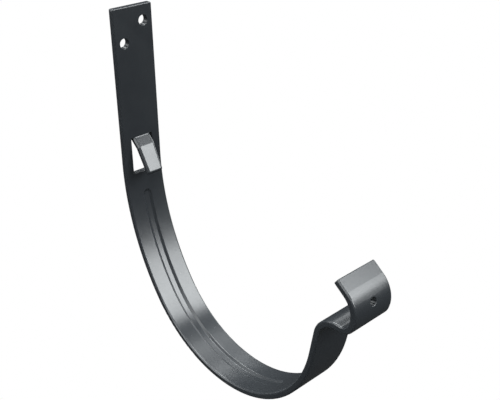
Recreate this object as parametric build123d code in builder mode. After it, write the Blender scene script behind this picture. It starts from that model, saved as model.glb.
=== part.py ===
from build123d import *
from math import cos, radians, sin
import os

os.makedirs("parts", exist_ok=True)

# Gutter bracket: one steel strip, cut, punched, lanced, beaded and bent.
# Millimetres. +X points out from the wall, +Y runs along the gutter, +Z is up.
# The origin is on the wall face, midway between the two screw holes.

# Strip
strip_width = 25.3
strip_thickness = 3.5
edge_round = 1.0  # soft edges along both sides of the strip
end_round = 0.4  # and across both of its ends
rim_round = 0.3  # soft rims of the window and of the punched holes' outer ends

# Leaf: the flat back that is screwed to the wall
leaf_length = 88.9
leaf_margin = 8.7  # upper screw hole's centre to the leaf's end
screw_hole_diameter = 5.5
screw_hole_rise = 10.4  # height between the two holes
screw_hole_spread = 12.8  # sideways distance between them

# Cradle: a wide back bend, then the round bowl under the gutter
back_bend_radius = 128.0  # gutter side
back_bend_turn = 37.0
bowl_radius = 67.0  # gutter side
bowl_turn = 133.0

# Front: riser, hump, bead seat, hook and lip
riser_length = 14.9
hump_radius = 10.4  # outer side, where the strip turns outwards
hump_turn = 86.0
seat_radius = 5.0  # inside of the corner under the gutter's own bead
seat_turn = 73.0
hook_radius = 11.5  # inside of the hook
hook_turn = 76.0
lip_length = 7.2
hook_hole_diameter = 4.0
hook_hole_turn = 40.0  # how far round the hook the hole sits

# Tongue: lanced out of the leaf, kicked outwards and then turned down again
window_width = 14.0
window_height = 22.0
window_drop = 73.9  # leaf's end to the tongue's root
tongue_root_width = 11.8
tongue_tip_width = 10.2
kick_length = 6.2
kick_angle = 46.0  # from straight down
fall_length = 16.4
fall_angle = 28.5
kink_round = 0.8
tongue_edge_round = 1.6

# Bead: a groove pressed into the cradle, which stands out as a rib below it
bead_lead = 9.7  # degrees of the back bend before it starts
bead_reach = 83.0  # degrees of the bowl that it covers
bead_depth = 1.0
groove_width = 5.8
groove_floor = 3.0
rib_width = 8.6
rib_crest = 5.0
bead_round = 0.6

leaf_top = screw_hole_rise / 2 + leaf_margin
root_height = leaf_top - window_drop

# The strip as it is bent, before the tongue and the bead are pressed
with BuildPart() as bent_strip:
    # Side view: the same line is traced for the outer side and then for the gutter side
    with BuildSketch(Plane.XZ):
        with BuildLine():
            for depth in (strip_thickness, 0):
                face = strip_thickness - depth
                leaf = Line((face, leaf_top), (face, leaf_top - leaf_length))
                back_bend = JernArc(leaf @ 1, leaf % 1, back_bend_radius + depth, back_bend_turn)
                bowl = JernArc(back_bend @ 1, back_bend % 1, bowl_radius + depth, bowl_turn)
                riser = Line(bowl @ 1, bowl @ 1 + (bowl % 1) * riser_length)
                hump = JernArc(riser @ 1, riser % 1, hump_radius + face, -hump_turn)
                seat = JernArc(hump @ 1, hump % 1, seat_radius + depth, seat_turn)
                hook = JernArc(seat @ 1, seat % 1, hook_radius + depth, hook_turn)
                lip = Line(hook @ 1, hook @ 1 + (hook % 1) * lip_length)
            Line(leaf @ 0, leaf @ 0 - (strip_thickness, 0))
            Line(lip @ 1, lip @ 1 + (lip % 1).rotate(Axis.Z, -90) * strip_thickness)
        make_face()
    extrude(amount=strip_width / 2, both=True)
    # Soft edges round both sides, then across both ends
    fillet(bent_strip.faces().filter_by(Plane.XZ).edges(), radius=edge_round)
    for end_spot in (leaf @ 0, lip @ 1):
        end_face = bent_strip.faces().sort_by_distance(Plane.XZ.from_local_coords(end_spot))[0]
        fillet(end_face.edges().filter_by(Axis.Y), radius=end_round)

# Middle of the bead, on the gutter side of the cradle
with BuildLine(Plane.XZ) as bead_line:
    CenterArc(
        (back_bend.arc_center.X, back_bend.arc_center.Y),
        back_bend_radius,
        180 + bead_lead,
        back_bend_turn - bead_lead,
    )
    CenterArc(
        (bowl.arc_center.X, bowl.arc_center.Y),
        bowl_radius,
        180 + back_bend_turn,
        bead_reach,
    )
bead_path = bead_line.wires()[0]
bead_start = Plane(bead_path @ 0, x_dir=(0, 1, 0), z_dir=bead_path % 0)
bead_stop = Plane(bead_path @ 1, x_dir=(0, -1, 0), z_dir=-(bead_path % 1))


def bead_form(middle, corner, rim):
    """One half outline and its mirror image, run along the bead, with round ends."""
    with BuildPart() as form:
        with BuildSketch(bead_start):
            with BuildLine():
                FilletPolyline(middle, corner, rim, radius=bead_round)
                Line(rim, (0, rim[1]))
                mirror(about=Plane.YZ)
            make_face()
        sweep(path=bead_path)
        for bead_end in (bead_start, bead_stop):
            with BuildSketch(bead_end):
                with BuildLine():
                    FilletPolyline(middle, corner, rim, radius=bead_round)
                    Polyline(rim, (0, rim[1]), middle)
                make_face()
            revolve(axis=Axis(bead_end.origin, bead_end.y_dir), revolution_arc=180)
    return form.part


groove_slope = (groove_width - groove_floor) / 2
groove = bead_form(
    (0, -bead_depth),
    (groove_floor / 2, -bead_depth),
    (groove_floor / 2 + 2 * groove_slope, bead_depth),
)
rib_slope = (rib_width - rib_crest) / 2
rib = bead_form(
    (0, -strip_thickness - bead_depth),
    (rib_crest / 2, -strip_thickness - bead_depth),
    (rib_crest / 2 + 2 * rib_slope, -strip_thickness + bead_depth),
)

# Side view of the tongue, traced along its outer face from inside the leaf
kick = Vector(sin(radians(kick_angle)), -cos(radians(kick_angle)))
fall = Vector(sin(radians(fall_angle)), -cos(radians(fall_angle)))
root = Vector(strip_thickness, root_height)
knee = root + kick * kick_length
tip = knee + fall * fall_length
tongue_foot = tip.Y - strip_thickness * sin(radians(fall_angle))

with BuildPart() as tongue:
    with BuildSketch(Plane.XZ):
        with BuildLine():
            Polyline(root + Vector(0, strip_thickness), root, knee, tip)
            offset(amount=strip_thickness, side=Side.RIGHT, kind=Kind.INTERSECTION)
        make_face()
    extrude(amount=tongue_root_width / 2, both=True)
    # It narrows a little towards its tip
    with BuildSketch(Plane.YZ):
        with BuildLine():
            Polyline(
                (0, root_height + strip_thickness),
                (tongue_root_width / 2, root_height + strip_thickness),
                (tongue_root_width / 2, root_height),
                (tongue_tip_width / 2, tongue_foot),
                (0, tongue_foot),
            )
            mirror(about=Plane.YZ)
        make_face()
    extrude(amount=2 * tip.X, mode=Mode.INTERSECT)
    # Small radii at both kinks, then soft edges round the sides and the tip
    kinks = tongue.edges().filter_by(Axis.Y)
    root_kink = kinks.sort_by_distance(Plane.XZ.from_local_coords(root))[0]
    knee_kink = kinks.sort_by_distance(Plane.XZ.from_local_coords(knee))[0]
    fillet([root_kink, knee_kink], radius=kink_round)
    sides = tongue.faces().filter_by(lambda face: abs(face.normal_at().Y) > 0.9)
    tip_end = tongue.faces().sort_by(Axis.Z)[0]
    # A pair of round edges has to fit in the strip's thickness
    soft_round = min(tongue_edge_round, 0.47 * strip_thickness)
    fillet(sides.edges() + tip_end.edges().filter_by(Axis.Y), radius=soft_round)

with BuildPart() as bracket_strip:
    add(bent_strip.part)
    # Window behind the tongue
    with BuildSketch(Plane.YZ):
        with Locations((0, root_height - window_height / 2)):
            Rectangle(window_width, window_height)
    extrude(amount=2 * strip_thickness, mode=Mode.SUBTRACT)
    fillet(bracket_strip.edges(Select.NEW).filter_by(Axis.X, reverse=True), radius=rim_round)
    # Two screw holes on a slant
    with BuildSketch(Plane.YZ):
        with Locations(
            (screw_hole_spread / 2, screw_hole_rise / 2),
            (-screw_hole_spread / 2, -screw_hole_rise / 2),
        ):
            Circle(screw_hole_diameter / 2)
    extrude(amount=strip_thickness, mode=Mode.SUBTRACT)
    screw_rims = bracket_strip.edges(Select.LAST).filter_by(GeomType.CIRCLE).sort_by(Axis.X)
    fillet(screw_rims[-2:], radius=rim_round)
    # Small hole through the hook, square to its wall
    hole_spot = Plane.XZ.from_local_coords(hook @ (hook_hole_turn / hook_turn))
    hole_line = hole_spot - Plane.XZ.from_local_coords(hook.arc_center)
    with BuildSketch(Plane(hole_spot, z_dir=hole_line)):
        Circle(hook_hole_diameter / 2)
    extrude(amount=2 * strip_thickness, both=True, mode=Mode.SUBTRACT)
    fillet(bracket_strip.edges(Select.NEW).sort_by(Axis.X)[-1], radius=rim_round)
    # Bead: the rib stands out below, then the groove goes in above
    add(rib)
    fillet(bracket_strip.edges(Select.NEW), radius=bead_round)
    add(groove, mode=Mode.SUBTRACT)
    fillet(bracket_strip.edges(Select.NEW), radius=bead_round)
    add(tongue.part)

bracket_strip.part.label = "bracket_strip"
export_step(bracket_strip.part, "parts/bracket_strip.step")
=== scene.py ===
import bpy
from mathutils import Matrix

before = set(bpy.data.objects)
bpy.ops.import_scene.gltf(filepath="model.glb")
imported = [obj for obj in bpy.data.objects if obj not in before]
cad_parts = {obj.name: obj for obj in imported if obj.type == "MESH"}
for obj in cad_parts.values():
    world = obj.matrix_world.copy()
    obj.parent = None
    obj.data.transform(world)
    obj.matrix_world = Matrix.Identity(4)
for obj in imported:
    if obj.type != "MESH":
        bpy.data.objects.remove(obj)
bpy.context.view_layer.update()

import math

import bpy
from mathutils import Matrix, Vector

# Gutter bracket: one folded steel strip with a satin anthracite powder coat.
# Metres, in the CAD frame: +X points out from the wall, +Y runs along the gutter, +Z is up.
# Directions are given as azimuth, from +X towards +Y, and elevation above the horizon, in degrees.

scene = bpy.context.scene
scene.view_settings.view_transform = "Standard"


def direction(azimuth, elevation):
    """Unit vector."""
    a, e = math.radians(azimuth), math.radians(elevation)
    return Vector((math.cos(a) * math.cos(e), math.sin(a) * math.cos(e), math.sin(e)))


def rolled(right, up, back, roll):
    """Rotation whose axes are right and up, turned by roll degrees about back, and back."""
    r = math.radians(roll)
    new_right = right * math.cos(r) + up * math.sin(r)
    new_up = up * math.cos(r) - right * math.sin(r)
    return Matrix((new_right, new_up, back)).transposed().to_4x4()


def facing(azimuth, elevation, roll=0.0):
    """Rotation of a camera or lamp that stands in this direction and looks back at the object."""
    back = direction(azimuth, elevation)
    right = Vector((0, 0, 1)).cross(back).normalized()
    return rolled(right, back.cross(right), back, roll)


# Camera

CAMERA_PLACE = (0.3528, -0.23568, 0.12185)

camera_data = bpy.data.cameras.new("camera")
camera_data.sensor_width = 36
camera_data.lens = 57.453
camera_data.clip_start = 0.01
camera_data.clip_end = 50
camera = bpy.data.objects.new("camera", camera_data)
camera.matrix_world = Matrix.Translation(CAMERA_PLACE) @ facing(-42.378, 28.244, roll=-0.34)
scene.collection.objects.link(camera)
scene.camera = camera


# Light

OBJECT_MIDDLE = Vector((0.088, 0, -0.09))
LAMP_DISTANCE = 3.0
LAMP_COLOUR = (0.965, 1.0, 1.012)
WORLD_COLOUR = (0.05, 0.05, 0.05, 1)


def softbox(name, azimuth, elevation, half_width, half_height, radiance, roll=0.0):
    """An oval diffuser that faces the object. Its half sizes are angles as seen from there."""
    lamp = bpy.data.lights.new(name, "AREA")
    lamp.shape = "ELLIPSE"
    lamp.size = 2 * LAMP_DISTANCE * math.tan(math.radians(half_width))
    lamp.size_y = 2 * LAMP_DISTANCE * math.tan(math.radians(half_height))
    oval_area = math.pi / 4 * lamp.size * lamp.size_y
    lamp.energy = radiance * math.pi * oval_area
    lamp.color = LAMP_COLOUR
    holder = bpy.data.objects.new(name, lamp)
    place = OBJECT_MIDDLE + direction(azimuth, elevation) * LAMP_DISTANCE
    holder.matrix_world = Matrix.Translation(place) @ facing(azimuth, elevation, roll)
    holder.visible_camera = False
    scene.collection.objects.link(holder)


softbox("key", 32, 29.5, 26, 13.2, 7.2, roll=50)
softbox("right", 94, 14, 25, 12, 4.4)
softbox("back", 158, 50, 12, 9, 8.6)
softbox("back_wide", 138, 56, 26, 14, 0.85)
softbox("back_low", 131, 27, 8, 7, 2.0)
softbox("back_left", 168, 36, 9, 9, 2.3)
softbox("top", 150, 82, 20, 12, 7.0)
softbox("top_right", 100, 70, 12, 12, 1.25)
softbox("left", -100, 26, 30, 16, 3.0)
softbox("left_back", -134, 26, 20, 18, 1.7)
softbox("crown", -44, 50, 25, 20, 2.1)

world = bpy.data.worlds.new("studio")
world.use_nodes = True
scene.world = world
world.node_tree.nodes["Background"].inputs["Color"].default_value = WORLD_COLOUR


# Materials

BLACK = (0, 0, 0, 1)
WHITE = (1, 1, 1, 1)
PALE_FLOOR = (0.8, 0.8, 0.8, 1)
DARK_CARD = (0.04, 0.04, 0.04, 1)
DARK_COAT = (0.0290, 0.0328, 0.0378, 1)
PALE_COAT = (0.0365, 0.0410, 0.0458, 1)
WORN_COAT = (0.072, 0.077, 0.083, 1)
WORN_SHARE = 0.25  # of the worn tone in a fully rubbed spot
EDGE_DULLING = 0.06  # roughness that the rounded edges add
PEEL_HEIGHT = 0.000005
GRAIN_HEIGHT = 0.0000012


def node(tree, kind, **values):
    """A new node. Names that are inputs set their values, and the others set the node's own."""
    made = tree.nodes.new(kind)
    for name, value in values.items():
        if name in made.inputs:
            made.inputs[name].default_value = value
        else:
            setattr(made, name, value)
    return made


def new_material(name):
    material = bpy.data.materials.new(name)
    material.use_nodes = True
    material.node_tree.nodes.clear()
    return material, material.node_tree


def floor_material():
    """Matt and pale. The camera, reflections and transmission see it plain white."""
    material, tree = new_material("floor")
    path = node(tree, "ShaderNodeLightPath")
    either = node(tree, "ShaderNodeMath", operation="MAXIMUM")
    any_of_them = node(tree, "ShaderNodeMath", operation="MAXIMUM")
    matt = node(tree, "ShaderNodeBsdfDiffuse", Color=PALE_FLOOR)
    white = node(tree, "ShaderNodeEmission", Strength=1.0)
    mix = node(tree, "ShaderNodeMixShader")
    out = node(tree, "ShaderNodeOutputMaterial")
    link = tree.links.new
    link(path.outputs["Is Camera Ray"], either.inputs[0])
    link(path.outputs["Is Glossy Ray"], either.inputs[1])
    link(either.outputs[0], any_of_them.inputs[0])
    link(path.outputs["Is Transmission Ray"], any_of_them.inputs[1])
    link(any_of_them.outputs[0], mix.inputs["Fac"])
    link(matt.outputs[0], mix.inputs[1])
    link(white.outputs[0], mix.inputs[2])
    link(mix.outputs[0], out.inputs["Surface"])
    return material


def card_material():
    material, tree = new_material("dark_card")
    matt = node(tree, "ShaderNodeBsdfDiffuse", Color=DARK_CARD)
    out = node(tree, "ShaderNodeOutputMaterial")
    tree.links.new(matt.outputs[0], out.inputs["Surface"])
    return material


def noise(tree, coords, scale, detail, roughness):
    """Noise over the object's own coordinates."""
    made = node(tree, "ShaderNodeTexNoise", Scale=scale, Detail=detail, Roughness=roughness)
    tree.links.new(coords.outputs["Object"], made.inputs["Vector"])
    return made.outputs["Fac"]


def map_range(tree, value, source=(0.0, 1.0), target=(0.0, 1.0)):
    """The value, taken from one range to another and kept inside it."""
    made = node(tree, "ShaderNodeMapRange")
    for name, number in zip(("From Min", "From Max", "To Min", "To Max"), source + target):
        made.inputs[name].default_value = number
    tree.links.new(value, made.inputs["Value"])
    return made.outputs[0]


def colour_ramp(tree, value, stops, interpolation="LINEAR"):
    """Colours at rising positions of the value."""
    made = node(tree, "ShaderNodeValToRGB")
    made.color_ramp.interpolation = interpolation
    elements = made.color_ramp.elements
    while len(elements) < len(stops):
        elements.new(0.5)
    for element, (position, colour) in zip(elements, stops):
        element.position = position
        element.color = colour
    tree.links.new(value, made.inputs["Fac"])
    return made.outputs["Color"]


def coat_material():
    """Satin powder coat with a fine orange-peel skin.

    It is slightly uneven in tone and gloss, and thinner on the edges.
    """
    material, tree = new_material("satin_powder_coat")
    link = tree.links.new
    coords = node(tree, "ShaderNodeTexCoord")
    surface = node(tree, "ShaderNodeBsdfPrincipled")
    surface.inputs["IOR"].default_value = 1.5
    surface.inputs["Specular IOR Level"].default_value = 1.0
    out = node(tree, "ShaderNodeOutputMaterial")
    link(surface.outputs[0], out.inputs["Surface"])

    # Tone: broad clouds, and fine grains of pigment
    clouds = noise(tree, coords, scale=42.0, detail=4.0, roughness=0.6)
    grains = noise(tree, coords, scale=2600.0, detail=2.0, roughness=0.7)
    cloud_tone = colour_ramp(tree, clouds, [(0.3, DARK_COAT), (0.7, PALE_COAT)])
    grain_tone = map_range(tree, grains, target=(0.9, 1.1))
    grained = node(tree, "ShaderNodeVectorMath", operation="SCALE")
    link(cloud_tone, grained.inputs[0])
    link(grain_tone, grained.inputs["Scale"])

    # Rounded edges are where the normal leans, but not fully, towards the strip's sides
    axes = node(tree, "ShaderNodeSeparateXYZ")
    lean = node(tree, "ShaderNodeMath", operation="ABSOLUTE")
    link(coords.outputs["Normal"], axes.inputs[0])
    link(axes.outputs["Y"], lean.inputs[0])
    edge_stops = [(0.25, BLACK), (0.7, WHITE), (0.98, BLACK)]
    edge = colour_ramp(tree, lean.outputs[0], edge_stops, interpolation="EASE")

    # Wear: the edges are paler in rubbed spots
    rubbed = noise(tree, coords, scale=260.0, detail=5.0, roughness=0.65)
    rubbed_spots = map_range(tree, rubbed, source=(0.4, 0.75))
    edge_wear = node(tree, "ShaderNodeMath", operation="MULTIPLY")
    edge_share = node(tree, "ShaderNodeMath", operation="MULTIPLY")
    edge_share.inputs[1].default_value = WORN_SHARE
    tone = node(tree, "ShaderNodeMix", data_type="RGBA")
    tone.inputs["B"].default_value = WORN_COAT
    link(edge, edge_wear.inputs[0])
    link(rubbed_spots, edge_wear.inputs[1])
    link(edge_wear.outputs[0], edge_share.inputs[0])
    link(edge_share.outputs[0], tone.inputs["Factor"])
    link(grained.outputs[0], tone.inputs["A"])
    link(tone.outputs["Result"], surface.inputs["Base Color"])

    # Gloss: satin, in soft patches, and duller on the rounded edges
    patches = noise(tree, coords, scale=95.0, detail=6.0, roughness=0.62)
    gloss = map_range(tree, patches, source=(0.3, 0.7), target=(0.235, 0.275))
    dulled = node(tree, "ShaderNodeMath", operation="MULTIPLY_ADD")
    dulled.inputs[1].default_value = EDGE_DULLING
    link(edge, dulled.inputs[0])
    link(gloss, dulled.inputs[2])
    link(dulled.outputs[0], surface.inputs["Roughness"])

    # Relief: orange peel, and the powder's finer grain on top
    peel = noise(tree, coords, scale=620.0, detail=2.0, roughness=0.45)
    peel_bump = node(tree, "ShaderNodeBump", Strength=1.0, Distance=PEEL_HEIGHT)
    grain_bump = node(tree, "ShaderNodeBump", Strength=1.0, Distance=GRAIN_HEIGHT)
    link(peel, peel_bump.inputs["Height"])
    link(grains, grain_bump.inputs["Height"])
    link(peel_bump.outputs["Normal"], grain_bump.inputs["Normal"])
    link(grain_bump.outputs["Normal"], surface.inputs["Normal"])
    return material


# Studio: a wide pale floor, and below the object a dark card that the coat reflects

FLOOR_HEIGHT = -1.05
FLOOR_RADIUS = 12.0
CARD_RADIUS = 0.9
DEGREES_APART = 5  # between the points of the floor's rim, and of the card


def stage_mesh(name, points, faces, material):
    mesh = bpy.data.meshes.new(name)
    mesh.from_pydata(points, [], faces)
    mesh.materials.append(material)
    made = bpy.data.objects.new(name, mesh)
    scene.collection.objects.link(made)
    return made


def curved_card(name):
    """A card bent to the lower half of a sphere round the object. The camera doesn't see it."""
    columns = range(-180, 181, DEGREES_APART)
    rows = range(-90, 1, DEGREES_APART)
    points = [OBJECT_MIDDLE + CARD_RADIUS * direction(a, e) for a in columns for e in rows]
    faces = []
    for i in range(len(columns) - 1):
        for j in range(len(rows) - 1):
            corner = i * len(rows) + j
            faces.append((corner, corner + len(rows), corner + len(rows) + 1, corner + 1))
    card = stage_mesh(name, points, faces, card_material())
    card.visible_camera = False


floor_middle = Vector((0, 0, FLOOR_HEIGHT))
floor_rim = [
    floor_middle + FLOOR_RADIUS * direction(azimuth, 0)
    for azimuth in range(0, 360, DEGREES_APART)
]
stage_mesh("floor", floor_rim, [range(len(floor_rim))], floor_material())
curved_card("dark_card")


# The strip keeps its CAD mesh and gets the coat

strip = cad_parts["bracket_strip"]
strip.data.materials.clear()
strip.data.materials.append(coat_material())
